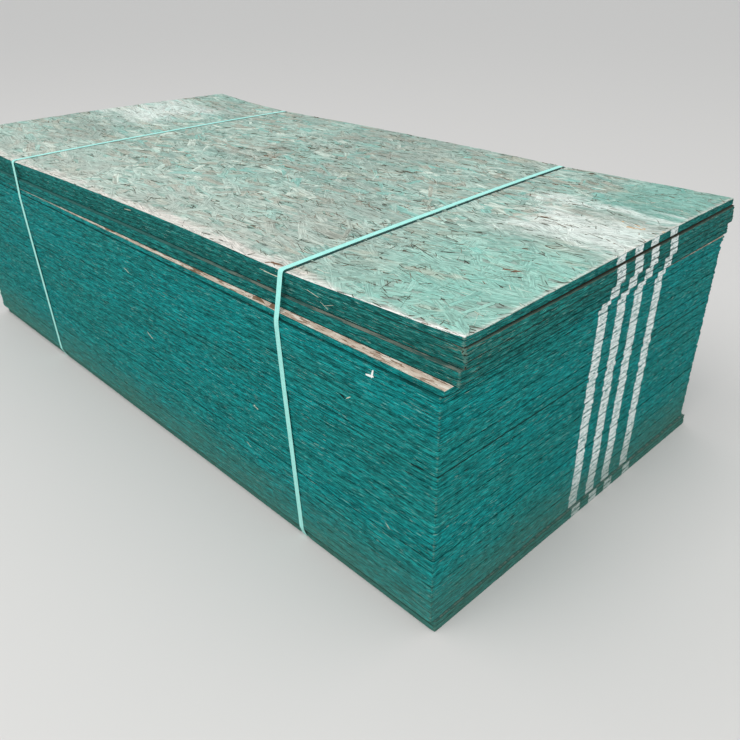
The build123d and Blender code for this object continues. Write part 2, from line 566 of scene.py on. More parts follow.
def noted(tree, name):
    """The three numbers that a piece keeps for each point under this name."""
    vector = put(tree, "ShaderNodeAttribute", {"attribute_name": name}).outputs["Vector"]
    return put(tree, "ShaderNodeSeparateXYZ", Vector=vector).outputs


def axes(tree, place):
    """The X, Y and Z of each point."""
    return put(tree, "ShaderNodeSeparateXYZ", Vector=place).outputs


def add_relief(tree, shader, height, strength, distance):
    """A fine relief, too shallow to be worth points of its own."""
    relief = put(tree, "ShaderNodeBump", Strength=strength, Distance=distance, Height=height)
    tree.links.new(relief.outputs[0], shader.inputs["Normal"])


print("materials so far:", len(bpy.data.materials))

# %% [markdown]
# ### The teal edge seal
# Mills spray the edges of a whole stack with a wax seal, here a deep teal. It lies unevenly over the
# ends of the strands, so the sides show fine level streaks, lighter where a strand stands out and
# nearly black where one is missing. Noise that is long along the sheet and thin in height gives such
# streaks, and only its highest and lowest values give the rare pale fibres and voids.

# %% Streak the seal
streak_stretch = (14, 14, 280)
hair_stretch = (42, 42, 460)


def streaked_teal(tree, place, own_y, tone, wear_and_gap_shade, at_end, streak, hair):
    """Teal with fine level streaks, pale strands and dark voids, a little lighter near the near corner."""
    patch = noise(tree, place, (2.4, 2.4, 14), 3, 0.55)
    teal = mix(tree, step(tree, patch, 0.35, 0.65), (0.009, 0.172, 0.160), (0.005, 0.192, 0.188))
    teal = mix(tree, maths(tree, "MULTIPLY", wear_and_gap_shade, 0.8), teal, (0.012, 0.118, 0.102))
    coarse = step(tree, streak, 0.34, 0.66, 0.68, 1.30)
    fine = step(tree, hair, 0.35, 0.65, 0.40, 1.60)
    bright = maths(tree, "MULTIPLY", maths(tree, "MULTIPLY", coarse, fine), tone)
    lit_end = maths(tree, "MULTIPLY", at_end, step(tree, own_y, 0.0, -0.5, 0.02, 0.13))
    bright = maths(tree, "MULTIPLY", bright, maths(tree, "ADD", lit_end, 1.0))
    colour = brighten(tree, teal, bright)
    pale = step(tree, noise(tree, place, (32, 32, 480), 2, 0.6), 0.62, 0.66)
    colour = mix(tree, maths(tree, "MULTIPLY", pale, 0.6), colour, (0.060, 0.310, 0.290))
    fibre = step(tree, noise(tree, place, (26, 26, 620), 2, 0.6), 0.67, 0.69)
    colour = mix(tree, maths(tree, "MULTIPLY", fibre, 0.75), colour, (0.300, 0.500, 0.430))
    void = step(tree, noise(tree, place, (36, 36, 400), 3, 0.7), 0.37, 0.32)
    return mix(tree, maths(tree, "MULTIPLY", void, 0.85), colour, (0.004, 0.030, 0.028))


print("streaks and hairs to the metre of height:", streak_stretch[2], hair_stretch[2])

# %% [markdown]
# ### Joints between the sheets
# Two stacked sheets meet in a thin shadow, which is widest where a lift has slipped. Each sheet notes
# how dark its lower and its upper joint are, so the joints differ as on the real stack. The damp sheet
# under the top one also has a rust-coloured strip along its end.

# %% Darken the joints
to_rim = 0.0075


def jointed(tree, colour, own_z, at_end, blotch):
    """Painted shadow along the lower and upper rims, wider where a lift has slipped, and the rust strip."""
    lower_joint, upper_joint, rusty = noted(tree, "joints")
    reach = step(tree, blotch, 0.3, 0.7, 0.0005, 0.0011)
    slip_below = step(tree, lower_joint, 0.85, 1.0, 0.0, 0.0010)
    slip_above = step(tree, upper_joint, 0.85, 1.0, 0.0, 0.0028)
    from_low, from_high = maths(tree, "ADD", own_z, to_rim), maths(tree, "SUBTRACT", to_rim, own_z)
    near_lower = maths(tree, "LESS_THAN", from_low, maths(tree, "ADD", reach, slip_below))
    near_upper = maths(tree, "LESS_THAN", from_high, maths(tree, "ADD", reach, slip_above))
    joint = maths(tree, "ADD", maths(tree, "MULTIPLY", near_lower, lower_joint),
                  maths(tree, "MULTIPLY", near_upper, upper_joint))
    # Painted shadow: the joint lines are darkened where two sheets meet.
    colour = mix(tree, joint, colour, (0.004, 0.040, 0.036))
    strip = maths(tree, "COMPARE", own_z, maths(tree, "MULTIPLY_ADD", blotch, 0.003, 0.0035), 0.0011)
    rust = maths(tree, "MULTIPLY", maths(tree, "MULTIPLY", strip, at_end), rusty)
    return mix(tree, maths(tree, "MULTIPLY", rust, 0.8), colour, (0.130, 0.095, 0.060))


print("a joint is drawn", to_rim, "m above and below a sheet's middle")

# %% [markdown]
# ### Chips and knocked corners
# Where the seal has chipped off, grey-brown wood shows, most at the upright corners and on the worn
# sheets. The same noise decides everywhere, and its limit is lower where there is more wear.

# %% Chip the seal
chip_limit = 0.735


def chipped(tree, place, colour, own_x, own_y, wear_and_gap_shade, blotch):
    """Bare wood in small chips, crowded at the upright corners."""
    from_side = maths(tree, "SUBTRACT", width / 2, maths(tree, "ABSOLUTE", own_y))
    from_end = maths(tree, "SUBTRACT", length / 2, maths(tree, "ABSOLUTE", own_x))
    to_corner = maths(tree, "MAXIMUM", from_side, from_end)
    knocked = step(tree, to_corner, 0.009, 0.001)
    rubbed = maths(tree, "MULTIPLY", step(tree, to_corner, 0.45, 0.0), wear_and_gap_shade)
    limit = maths(tree, "SUBTRACT", chip_limit, maths(tree, "MULTIPLY", knocked, 0.20))
    limit = maths(tree, "SUBTRACT", limit, maths(tree, "MULTIPLY", rubbed, 0.15))
    chip_noise = maths(tree, "SUBTRACT", noise(tree, place, (28, 28, 560), 3, 0.65), limit)
    chip = step(tree, chip_noise, 0.0, 0.04)
    wood = mix(tree, step(tree, blotch, 0.4, 0.6), (0.27, 0.27, 0.20), (0.11, 0.145, 0.115))
    wood = mix(tree, maths(tree, "MULTIPLY", knocked, 0.6), wood, (0.060, 0.270, 0.235))
    return mix(tree, maths(tree, "MULTIPLY", chip, 0.8), colour, wood)


print("the seal is chipped where the noise is over", chip_limit)

# %% [markdown]
# ### The white stripes
# Four white stripes were sprayed over one end before the lifts slid, so they are tied to each sheet's
# own coordinates and step sideways from lift to lift. The spray missed some strands, and the painted
# shadow of the joints crosses the stripes.

# %% Stripe the near end
stripe_starts = (-0.0532, 0.0318, 0.1128, 0.2157)
stripe_half = 0.0200


def striped(tree, place, colour, own_y, own_z, jitter, at_end, hair):
    """White stripes with ragged sides, crossed by the joints."""
    ragged = maths(tree, "MULTIPLY_ADD", noise(tree, place, (70, 70, 520), 2, 0.6), 0.010, -0.005)
    across = maths(tree, "ADD", maths(tree, "ADD", own_y, ragged), jitter)
    band = None
    for start in stripe_starts:
        inside = maths(tree, "COMPARE", across, start + stripe_half, stripe_half)
        band = inside if band is None else maths(tree, "MAXIMUM", band, inside)
    band = maths(tree, "MULTIPLY", band, at_end)
    covered = step(tree, noise(tree, place, (50, 50, 300), 3, 0.75), 0.36, 0.46)
    white = mix(tree, step(tree, hair, 0.35, 0.55), (0.46, 0.60, 0.56), (0.95, 0.99, 0.97))
    # Near each rim the white is thinned, so that the painted joint shadow shows through the stripe.
    near_joint = maths(tree, "COMPARE", maths(tree, "ABSOLUTE", own_z), 0.0080, 0.0017)
    crossed = maths(tree, "MULTIPLY_ADD", near_joint, -0.55, 0.92)
    painted = maths(tree, "MULTIPLY", covered, crossed)
    return mix(tree, maths(tree, "MULTIPLY", band, painted), colour, white)


print(len(stripe_starts), "stripes,", 2 * stripe_half, "m wide")

# %% [markdown]
# ### The whole edge seal
# The layers go on in turn: the seal, the joints, the chips, the stripes, and last the dust that
# splashes up from the ground, which browns the lowest sheets.

# %% Make the edge seal
def shade_edge():
    """The seal from its streaks up to the dust."""
    finish, tree, place, shader = new_finish("edge_seal", 0.75, 0.06)
    own_x, own_y, own_z = noted(tree, "own")
    tone, wear_and_gap_shade, jitter = noted(tree, "facts")
    at_end = step(tree, own_x, length / 2 - 0.02, length / 2 - 0.01)
    streak = noise(tree, place, streak_stretch, 4, 0.65)
    hair = noise(tree, place, hair_stretch, 3, 0.75)
    blotch = noise(tree, place, (9, 9, 60), 3, 0.6)
    colour = streaked_teal(tree, place, own_y, tone, wear_and_gap_shade, at_end, streak, hair)
    colour = jointed(tree, colour, own_z, at_end, blotch)
    colour = chipped(tree, place, colour, own_x, own_y, wear_and_gap_shade, blotch)
    colour = striped(tree, place, colour, own_y, own_z, jitter, at_end, hair)
    z = axes(tree, place)[2]
    low_down = step(tree, maths(tree, "ADD", z, maths(tree, "MULTIPLY", blotch, 0.16)), 0.30, 0.07)
    colour = mix(tree, maths(tree, "MULTIPLY", low_down, 0.55), colour, (0.078, 0.155, 0.112))
    tree.links.new(colour, shader.inputs["Base Color"])
    add_relief(tree, shader, streak, 0.35, 0.0006)
    return finish


edge_seal = shade_edge()
print("the edge seal has", len(edge_seal.node_tree.nodes), "nodes")

# %% [markdown]
# ### Bare faces
# Where a lift has slid back, a strip of the sheet below shows its bare face: pale, dried strands with
# a pink cast and brown knots, which fade to the teal of the spray towards the far end. Cells of a
# stretched Voronoi texture stand for the strands. On worn sheets the strip is dull and dark, and the
# flat faces of the three sheets under the top one are painted near black, as painted shade in their gaps.

# %% Make the bare face
def pale_strands(tree, place, bend, grain):
    """Strands of pink, cream and brown, one colour to each stretched cell."""
    shift = put(tree, "ShaderNodeCombineXYZ", Y=maths(tree, "MULTIPLY", bend, 3.0)).outputs[0]
    stretched = {"operation": "MULTIPLY_ADD"}
    bent = put(tree, "ShaderNodeVectorMath", stretched, i0=place, i1=(22, 90, 1), i2=shift)
    cells = put(tree, "ShaderNodeTexVoronoi", Vector=bent.outputs[0], Scale=1.0)
    cell = put(tree, "ShaderNodeSeparateColor", Color=cells.outputs["Color"]).outputs
    colour = mix(tree, cell[0], (0.68, 0.57, 0.47), (0.52, 0.40, 0.31))
    colour = mix(tree, step(tree, cell[1], 0.6, 0.9), colour, (0.74, 0.66, 0.56))
    colour = mix(tree, step(tree, cell[2], 0.93, 0.95), colour, (0.20, 0.12, 0.07))
    knots = step(tree, noise(tree, place, (30, 120, 1), 3, 0.7), 0.46, 0.38)
    colour = mix(tree, knots, colour, (0.30, 0.20, 0.14))
    return mix(tree, step(tree, grain, 0.46, 0.34), colour, (0.22, 0.14, 0.09))


def dull_strands(tree, place, x, z):
    """What shows of a sheet with wear: teal and grey, plain teal at the foot and towards the far end."""
    sparse = noise(tree, place, (14, 60, 1), 3, 0.7)
    dull = mix(tree, step(tree, sparse, 0.42, 0.58), (0.016, 0.085, 0.075), (0.170, 0.190, 0.155))
    dull = mix(tree, step(tree, x, 0.75, 0.10), dull, (0.020, 0.130, 0.118))
    return mix(tree, step(tree, z, 0.15, 0.05, 0.0, 0.55), dull, (0.020, 0.130, 0.112))


def shade_bare():
    """Pale strands, dull with wear, teal towards the far end and rim, and near black as painted gap shade."""
    finish, tree, place, shader = new_finish("bare_strands", 0.85)
    wear_and_gap_shade = noted(tree, "facts")[1]
    x, y, z = axes(tree, place)
    bend = noise(tree, place, (9, 9, 9), 2, 0.5)
    grain = noise(tree, place, (25, 260, 25), 3, 0.6)
    colour = pale_strands(tree, place, bend, grain)
    rim = maths(tree, "SUBTRACT", width / 2, maths(tree, "ABSOLUTE", noted(tree, "own")[1]))
    rim = maths(tree, "ADD", rim, maths(tree, "MULTIPLY", bend, 0.003))
    colour = mix(tree, step(tree, rim, 0.0035, 0.0015), colour, (0.16, 0.30, 0.25))
    away = maths(tree, "ADD", x, maths(tree, "MULTIPLY", bend, 0.5))
    colour = mix(tree, step(tree, away, 0.10, -0.75), colour, (0.30, 0.52, 0.46))
    colour = mix(tree, step(tree, wear_and_gap_shade, 0.0, 0.5, 0.0, 0.95), colour, dull_strands(tree, place, x, z))
    # On sheets 45 to 47, above 0.9, the flat faces are painted near black: painted shade in the gaps under
    # the top sheet.
    colour = mix(tree, step(tree, wear_and_gap_shade, 0.90, 0.95), colour, (0.040, 0.034, 0.024))
    tree.links.new(colour, shader.inputs["Base Color"])
    add_relief(tree, shader, grain, 0.6, 0.0008)
    return finish


bare_strands = shade_bare()
print("the bare face has", len(bare_strands.node_tree.nodes), "nodes")

# %% [markdown]
# ### Painting the sheets
# A sheet's walls and rims get the seal, and its flat faces get another finish. What makes one sheet
# differ from the next, such as its tone, its wear and how dark its joints are, is noted on its points,
# so that the flat sheets can share two materials. The sheets at the top are worn most, and then those
# at the foot.

# %% Paint the flat sheets
def paint_sheet(piece, flat_finish):
    """The seal on the walls, another finish on the flat faces."""
    piece.data.materials.clear()
    piece.data.materials.append(edge_seal)
    piece.data.materials.append(flat_finish)
    own = np.array([tuple(item.vector) for item in piece.data.attributes["own"].data])
    for face in piece.data.polygons:
        middle = own[list(face.vertices)].mean(axis=0)
        inside = abs(middle[0]) < length / 2 - 1.5 * arris and abs(middle[1]) < width / 2 - 1.5 * arris
        face.material_index = 1 if inside and abs(face.normal.z) > 0.5 else 0


def note_facts(piece, tone, wear_and_gap_shade, jitter, lower_joint=0.1, upper_joint=0.1, rusty=0.0):
    """Keep what makes this sheet differ from the others."""
    count = len(piece.data.vertices)
    note_vector(piece, "facts", np.tile((tone, wear_and_gap_shade, jitter), (count, 1)))
    note_vector(piece, "joints", np.tile((lower_joint, upper_joint, rusty), (count, 1)))


def wear_and_gap_shade_of(number):
    """How much wear a sheet has, from 0 to 1, most on the damp top ones and the lowest; 1 adds painted gap
    shade.
    """
    if number > 44:
        return 1.0
    if number > 42:
        return 0.75
    return 0.5 if number < 3 else 0.0


rng = np.random.default_rng(4848)
bare_sheets = ("sheet_02", "sheet_42", "sheet_44")
slipped_joints = [3, 30, 42, 43, 45]
half_slipped_joint = 35
lips = (2, 29)
rusty_sheet = 47
joint_darkness = 0.30 + 0.50 * rng.beta(1.0, 3.0, len(sheet_names) + 1)
joint_darkness[slipped_joints] = 1.0
joint_darkness[half_slipped_joint] = 0.6
joint_darkness[-1] = 1.0
for number, (name, piece) in enumerate(sheets.items(), start=1):
    below = joint_darkness[number]
    # A sheet under an overhanging lip gets the full painted shadow at its upper joint.
    above = (1.0 if number in lips else 0.75) * joint_darkness[number + 1]
    rusty = 1.0 if number == rusty_sheet else 0.0
    note_facts(piece, rng.uniform(0.93, 1.07), wear_and_gap_shade_of(number), rng.normal(0, 0.0017), below, above, rusty)
    # Sheets above 44 get the bare finish on their flat faces, which paints them near black as shade in the
    # gaps.
    paint_sheet(piece, bare_strands if name in bare_sheets or number > 44 else edge_seal)
print("painted", len(sheets), "sheets")

# %% [markdown]
# ### Draping on the warped top
# The top sheet has warped, and all that lies on it follows. The warp could be worked out again by a
# formula, but a ray sent down or up at any place finds the frame's own surface, whatever its form.
# Rain has swollen the near corner, which stands a little proud, and the underside, which closes more
# than half of the gap under the arch.

# %% Find the warped surface
top_node = frame["nodes"][top_name]
top_tree = BVHTree.FromPolygons(
    [tuple(vertex.co) for vertex in top_node.data.vertices],
    [tuple(face.vertices) for face in top_node.data.polygons],
)
top_seat = seats[top_name]
to_world = Matrix.Translation((top_seat.x, top_seat.y, 0)) @ Matrix.Rotation(top_seat.turn, 4, "Z")
sagging = 0.62
swollen = 0.0045
swollen_reach = 0.085
rim_margin = 0.0012


def hit(x, y, from_below=False):
    """The height of the frame's top sheet over or under this place."""
    start, way = ((x, y, 0.0), (0, 0, 1)) if from_below else ((x, y, 2.0), (0, 0, -1))
    return top_tree.ray_cast(Vector(start), Vector(way))[0].z


def drape(own, top_of):
    """World points for own ones, whose height is a share of the sheet plus a depth below its top."""
    inner_x = np.clip(own[:, 0], -length / 2 + rim_margin, length / 2 - rim_margin)
    inner_y = np.clip(own[:, 1], -width / 2 + rim_margin, width / 2 - rim_margin)
    world_points = np.empty_like(own)
    for index, (x, y, inside_x, inside_y) in enumerate(zip(own[:, 0], own[:, 1], inner_x, inner_y)):
        place = to_world @ Vector((x, y, 0))
        inside = to_world @ Vector((inside_x, inside_y, 0))
        high = hit(inside.x, inside.y)
        low = hit(inside.x, inside.y, True)
        low -= sagging * (low - seats["sheet_47"].high)
        near = np.hypot(length / 2 - x, width / 2 + y)
        high += swollen * max(0.0, 1 - near / swollen_reach) ** 1.5
        world_points[index] = (place.x, place.y, top_of(index, low, high))
    return world_points


print("the top's middle lies at", round(hit(0, 0), 4), "m and its underside at", round(hit(0, 0, True), 4))

# %% [markdown]
# ### The top sheet's board
# The board of the top sheet is worn like the others, but its flat faces have many cells. Each point is
# put between the underside and the top of the warped sheet, and the top is left lower by the depth of
# the loose strands that come to lie on it.

# %% Model the board of the top sheet
strand_depth = 0.0013

board = copy_of(fine_blank, "rough_" + top_name)
roughen(board, len(sheet_names))
board_own = points_of(board)
share = board_own[:, 2] / thickness + 0.5
note_vector(board, "own", board_own)
board_points = drape(board_own, lambda i, low, high: low + share[i] * (high - strand_depth - low))
set_points(board, board_points)
print("the board reaches from", board_points[:, 2].min(), "to", board_points[:, 2].max())

# %% [markdown]
# ### One strand and one sliver
# A strand is a thin, flat flake of wood, here up to 140 millimetres long. Five of them are modelled
# from filled circles: stretched, made uneven, extruded into closed flakes and inset for a worn rim.
# Narrow slivers, for the dirt-filled cracks between strands, are made the same way with fewer corners.

# %% Model the strands and slivers
def model_flake(name, corners, rim, shape_rng):
    """A closed flake, 1 long and 1 wide, with its top at height 0 and its underside at -1."""
    bpy.ops.object.select_all(action="DESELECT")
    bpy.ops.mesh.primitive_circle_add(vertices=corners, radius=0.5, fill_type="NGON")
    piece = bpy.context.object
    piece.name = name
    shape = bmesh.new()
    shape.from_mesh(piece.data)
    for vertex in shape.verts:
        square = max(abs(vertex.co.x), abs(vertex.co.y))
        vertex.co *= 0.5 / square * shape_rng.uniform(0.82, 1.0)
    shape.to_mesh(piece.data)
    shape.free()
    bpy.ops.object.mode_set(mode="EDIT")
    bpy.ops.mesh.select_all(action="SELECT")
    bpy.ops.mesh.extrude_region_move(TRANSFORM_OT_translate={"value": (0, 0, 1)})
    if rim:
        bpy.ops.mesh.inset(thickness=rim)
    bpy.ops.mesh.select_all(action="SELECT")
    bpy.ops.mesh.normals_make_consistent(inside=False)
    bpy.ops.object.mode_set(mode="OBJECT")
    piece.data.transform(Matrix.Translation((0, 0, -1)))
    return piece


shape_rng = np.random.default_rng(7)
strand_kinds = [model_flake("strand", 8, 0.05, shape_rng) for _ in range(5)]
sliver_kinds = [model_flake("sliver", 6, 0.0, shape_rng) for _ in range(3)]
print("faces of a strand:", len(strand_kinds[0].data.polygons))
print("faces of a sliver:", len(sliver_kinds[0].data.polygons))

# %% [markdown]
# ### Where the strands lie
# The mill's rollers leave most strands nearly along the sheet, and some lie anyhow. Scattered freely
# they would leave bald spots, so they are planned on a jittered grid, each with its own size, turn and
# depth, and with three numbers that later choose its colour.

# %% Plan the strands
Lay = namedtuple("Lay", "x y long wide turn curve level ids")
lay_rng = np.random.default_rng(20)
grid_x, grid_y = 70, 50
strand_long, strand_wide = 0.100, 0.020
lengthwise_share = 0.88


def turn_of_strand():
    """Most strands lie nearly along the sheet, some lie anyhow."""
    return lay_rng.normal(0, 0.42) if lay_rng.random() < lengthwise_share else lay_rng.uniform(-1.5, 1.5)


def plan_strands():
    """A jittered grid of strands."""
    for column in range(grid_x):
        for row in range(grid_y):
            x = ((column + lay_rng.uniform(-0.2, 1.2)) / grid_x - 0.5) * length
            y = ((row + lay_rng.uniform(-0.2, 1.2)) / grid_y - 0.5) * width
            long = strand_long * lay_rng.uniform(0.6, 1.4)
            wide = strand_wide * lay_rng.uniform(0.5, 1.7)
            turn = turn_of_strand()
            level = -strand_depth * lay_rng.beta(1.0, 2.2)
            yield Lay(x, y, long, wide, turn, 0.0, level, lay_rng.random(3))


print("strands to lay:", grid_x * grid_y)

# %% [markdown]
# ### Where the cracks lie
# Between the strands are cracks full of dirt, crowded round a few darker places, and the eye knows the
# top by some larger marks: long cracks near the corner, brown knots and an orange sliver. The small
# ones are drawn at random, more likely near the dark places, and the large marks are listed one by one.

# %% Plan the cracks and the marks
sliver_count = 3600
dark_places = (
    (0.21, 0.0),
    (0.50, -0.03),
    (0.80, -0.33),
    (-0.10, 0.0),
    (0.75, 0.45),
    (0.60, -0.25),
    (0.05, 0.35),
)
dark, brown, orange = (0.0, 0.0, 0.0), (0.0, 0.9, 0.0), (2.0, 0.0, 0.0)
marks = (
    (0.800, -0.350, 0.085, 0.0030, 1.75, dark),
    (0.812, -0.300, 0.050, 0.0030, 0.50, dark),
    (0.865, -0.297, 0.140, 0.0030, -0.38, dark),
    (0.674, -0.580, 0.040, 0.0100, 0.15, brown),
    (0.655, -0.586, 0.022, 0.0060, 0.90, brown),
    (-0.101, 0.001, 0.060, 0.0140, 0.10, brown),
    (1.095, -0.262, 0.050, 0.0110, 0.30, brown),
    (1.120, -0.290, 0.040, 0.0040, 0.55, dark),
    (1.168, 0.189, 0.100, 0.0170, 0.25, orange),
    (1.120, 0.205, 0.060, 0.0120, -0.20, orange),
    (0.930, 0.110, 0.030, 0.0100, 0.40, brown),
)


def plan_slivers():
    """Narrow cracks, crowded round the darker places, and then the marks."""
    laid = 0
    while laid < sliver_count:
        x, y = lay_rng.uniform((-length / 2, -width / 2), (length / 2, width / 2))
        crowd = sum(np.exp(-((x - a) ** 2 + (y - b) ** 2) / 0.03) for a, b in dark_places)
        if lay_rng.random() > 0.45 + crowd:
            continue
        laid += 1
        long = 0.015 + 0.090 * lay_rng.beta(1.1, 3.4)
        wide = lay_rng.uniform(0.0007, 0.0022)
        turn = turn_of_strand()
        curve = lay_rng.normal(0, 4)
        yield Lay(x, y, long, wide, turn, curve, -0.0001, lay_rng.random(3))
    for x, y, long, wide, turn, ids in marks:
        place = to_world.inverted() @ Vector((x, y, 0))
        yield Lay(place.x, place.y, long, wide, turn, 0.0, 0.0, np.array(ids))


print("cracks to lay:", sliver_count, "and marks:", len(marks))

# %% [markdown]
# ### Laying the flakes
# Each planned flake is a copy of a modelled one, stretched, tilted and turned, cut off at the sheet's
# edge and draped on the warped top. Thousands of objects would only slow Blender, so all flakes of one
# kind become one mesh, which notes where each point lies on the sheet and along its strand.

# %% Lay the strands and slivers
flake_margin = 0.0008
flake_foot = 0.0012


def lay_flakes(kinds, plans):
    """The points, faces and notes of all flakes of a plan, in the sheet's own coordinates."""
    points, faces, notes, grains = [], [], [], []
    total = 0
    for plan in plans:
        kind = kinds[lay_rng.integers(len(kinds))]
        flake = points_of(kind)
        x, y = flake[:, 0] * plan.long, flake[:, 1] * plan.wide
        y += plan.curve * x * x
        tilt = lay_rng.normal(0, 0.004) * x + lay_rng.normal(0, 0.018) * y
        z = np.where(flake[:, 2] > -0.5, np.minimum(plan.level + tilt, 0), -strand_depth - flake_foot)
        flat_x = plan.x + x * np.cos(plan.turn) - y * np.sin(plan.turn)
        flat_y = plan.y + x * np.sin(plan.turn) + y * np.cos(plan.turn)
        flat_x = np.clip(flat_x, -length / 2 + flake_margin, length / 2 - flake_margin)
        flat_y = np.clip(flat_y, -width / 2 + flake_margin, width / 2 - flake_margin)
        points.append(np.stack([flat_x, flat_y, z], axis=1))
        notes.append(np.tile(plan.ids, (len(flake), 1)))
        grains.append(np.stack([x, y + 3 * plan.ids[0], np.hypot(flake[:, 0], flake[:, 1])], axis=1))
        faces += [tuple(total + index for index in face.vertices) for face in kind.data.polygons]
        total += len(flake)
    return np.concatenate(points), faces, np.concatenate(notes), np.concatenate(grains)


def join_flakes(name, kinds, plans):
    """One draped mesh of all flakes of a plan."""
    own_points, faces, notes, grains = lay_flakes(kinds, plans)
    world = drape(own_points, lambda i, low, high: high + own_points[i, 2])
    mesh = bpy.data.meshes.new(name)
    mesh.from_pydata(world.tolist(), [], faces)
    piece = bpy.data.objects.new(name, mesh)
    bpy.context.scene.collection.objects.link(piece)
    note_vector(piece, "own", own_points)
    note_vector(piece, "strand", notes)
    note_vector(piece, "grain", grains)
    print("laid", name, "with", len(faces), "faces")
    return piece


strands = join_flakes("top_strands", strand_kinds, plan_strands())
slivers = join_flakes("top_slivers", sliver_kinds, plan_slivers())

# %% [markdown]
# ### Torn fibres and painted shadows on the long side
# Forks and saws tear fibres out of the edges, and scraps stick to the wet seal: there are cream splinters
# near the near strap, a small white scrap, and a dark notch. They are few, so each is listed with its
# place along the stack and its height.

# %% List the torn fibres
Scrap = namedtuple("Scrap", "x z long wide turn colour")
# shadow is for near-black flakes that are painted shadows: the shade in a notch and under an overhanging
# lift.
cream, white, shadow = (0.60, 0.58, 0.46), (0.90, 0.90, 0.86), (0.004, 0.020, 0.018)
scraps = (
    Scrap(0.680, 0.7090, 0.075, 0.0026, 0.02, cream),
    Scrap(0.650, 0.7100, 0.040, 0.0016, -0.03, cream),
    Scrap(0.815, 0.7020, 0.040, 0.0012, -0.20, cream),
    Scrap(0.800, 0.6960, 0.030, 0.0010, 0.10, cream),
    Scrap(0.862, 0.6850, 0.034, 0.0010, 0.35, cream),
    Scrap(0.846, 0.6800, 0.030, 0.0010, -0.45, cream),
    Scrap(1.030, 0.5940, 0.024, 0.0055, 0.15, white),
    Scrap(1.037, 0.6000, 0.020, 0.0055, 1.35, white),
    Scrap(0.042, 0.7170, 0.040, 0.0020, 0.10, cream),
    Scrap(0.015, 0.5360, 0.030, 0.0020, -0.30, cream),
    Scrap(0.092, 0.3510, 0.030, 0.0020, -0.50, cream),
    Scrap(0.943, 0.5090, 0.022, 0.0050, -0.40, shadow),
    Scrap(0.965, 0.5140, 0.016, 0.0030, 0.60, cream),
    Scrap(1.165, 0.4380, 0.040, 0.0045, 0.05, shadow),
    Scrap(0.560, 0.1900, 0.022, 0.0014, -0.50, cream),
    Scrap(0.610, 0.3300, 0.020, 0.0012, -0.30, cream),
    Scrap(1.080, 0.2300, 0.018, 0.0012, -0.70, cream),
    Scrap(1.120, 0.1500, 0.014, 0.0010, 0.90, cream),
)
print("torn fibres and scraps to lay:", len(scraps))

# %% [markdown]
# ### Laying the torn fibres and painted shadows
# Each fibre is a flake like the slivers, but laid upright against the edge of the sheet at its height
# and mostly sunk into it, so that no gap shows behind it. Its colour is noted on its points, and one
# material reads it for all of them.

# %% Lay the torn fibres
standing_out = 0.0004
sunk_in = 0.0024


def front_of(x, z):
    """The Y of the stack's front at this X and height."""
    seat = next(seat for seat in seats.values() if z < seat.high)
    return seat.y + (x - seat.x) * np.tan(seat.turn) - width / 2 / np.cos(seat.turn)


def lay_scraps():
    """One mesh of all torn fibres and painted shadows, each turned upright against the front."""
    points, faces, colours = [], [], []
    total = 0
    for scrap in scraps:
        kind = sliver_kinds[lay_rng.integers(len(sliver_kinds))]
        flake = points_of(kind)
        along, up = flake[:, 0] * scrap.long, flake[:, 1] * scrap.wide
        x = scrap.x + along * np.cos(scrap.turn) - up * np.sin(scrap.turn)
        z = scrap.z + along * np.sin(scrap.turn) + up * np.cos(scrap.turn)
        out = max(front_of(scrap.x, scrap.z) - standing_out, cad_box[0][1] + 0.0001)
        points.append(np.stack([x, np.where(flake[:, 2] > -0.5, out, out + sunk_in), z], axis=1))
        colours.append(np.tile(scrap.colour, (len(flake), 1)))
        faces += [tuple(total + index for index in face.vertices) for face in kind.data.polygons]
        total += len(flake)
    mesh = bpy.data.meshes.new("torn_fibres_and_shadows")
    mesh.from_pydata(np.concatenate(points).tolist(), [], faces)
    piece = bpy.data.objects.new("torn_fibres_and_shadows", mesh)
    bpy.context.scene.collection.objects.link(piece)
    note_vector(piece, "colour", np.concatenate(colours))
    return piece


def shade_fibre_and_shadow():
    """Each torn fibre and painted shadow in the colour that it notes."""
    finish, tree, place, shader = new_finish("torn_fibre_and_shadow", 0.85)
    colour = put(tree, "ShaderNodeAttribute", {"attribute_name": "colour"}).outputs["Color"]
    tree.links.new(colour, shader.inputs["Base Color"])
    return finish


fibres_and_shadows = lay_scraps()
fibres_and_shadows.data.materials.append(shade_fibre_and_shadow())
print("laid", len(scraps), "torn fibres with", len(fibres_and_shadows.data.polygons), "faces")

# %% [markdown]
# ### Bleached and sprayed places on the top
# White spray has drifted over both ends of the top, and the front edge is bleached nearly white with a
# pink cast. A painted mask could place them, but here each is a rectangle or a band with soft, wavy
# sides, worked out by nodes and laid over whatever colour the strands and gaps have.

# %% Bleach the top
def box_mask(tree, x, y, middle, half, soft, wobble):
    """1 inside a soft-edged rectangle with wavy sides, 0 outside."""
    off_x = maths(tree, "SUBTRACT", maths(tree, "ABSOLUTE", maths(tree, "SUBTRACT", x, middle[0])), half[0])
    off_y = maths(tree, "SUBTRACT", maths(tree, "ABSOLUTE", maths(tree, "SUBTRACT", y, middle[1])), half[1])
    off = maths(tree, "ADD", maths(tree, "MAXIMUM", off_x, off_y), wobble)
    return step(tree, off, soft, -soft)


def sprayed_white(tree, place, colour, wobble):
    """White spray over the near end and, fainter, over the far end."""
    x, y = axes(tree, place)[:2]
    sprayed = box_mask(tree, x, y, (1.06, 0.085), (0.17, 0.10), 0.07, wobble)
    streaked = box_mask(tree, x, y, (1.00, 0.290), (0.20, 0.020), 0.04, wobble)
    more_wobble = maths(tree, "MULTIPLY", wobble, 1.6)
    far_spray = box_mask(tree, x, y, (-1.08, 0.16), (0.15, 0.18), 0.10, more_wobble)
    far_spray = maths(tree, "MULTIPLY", far_spray, 0.85)
    white = maths(tree, "MAXIMUM", sprayed, maths(tree, "MAXIMUM", streaked, far_spray))
    return mix(tree, maths(tree, "MULTIPLY", white, 0.66), colour, (0.80, 0.85, 0.80))


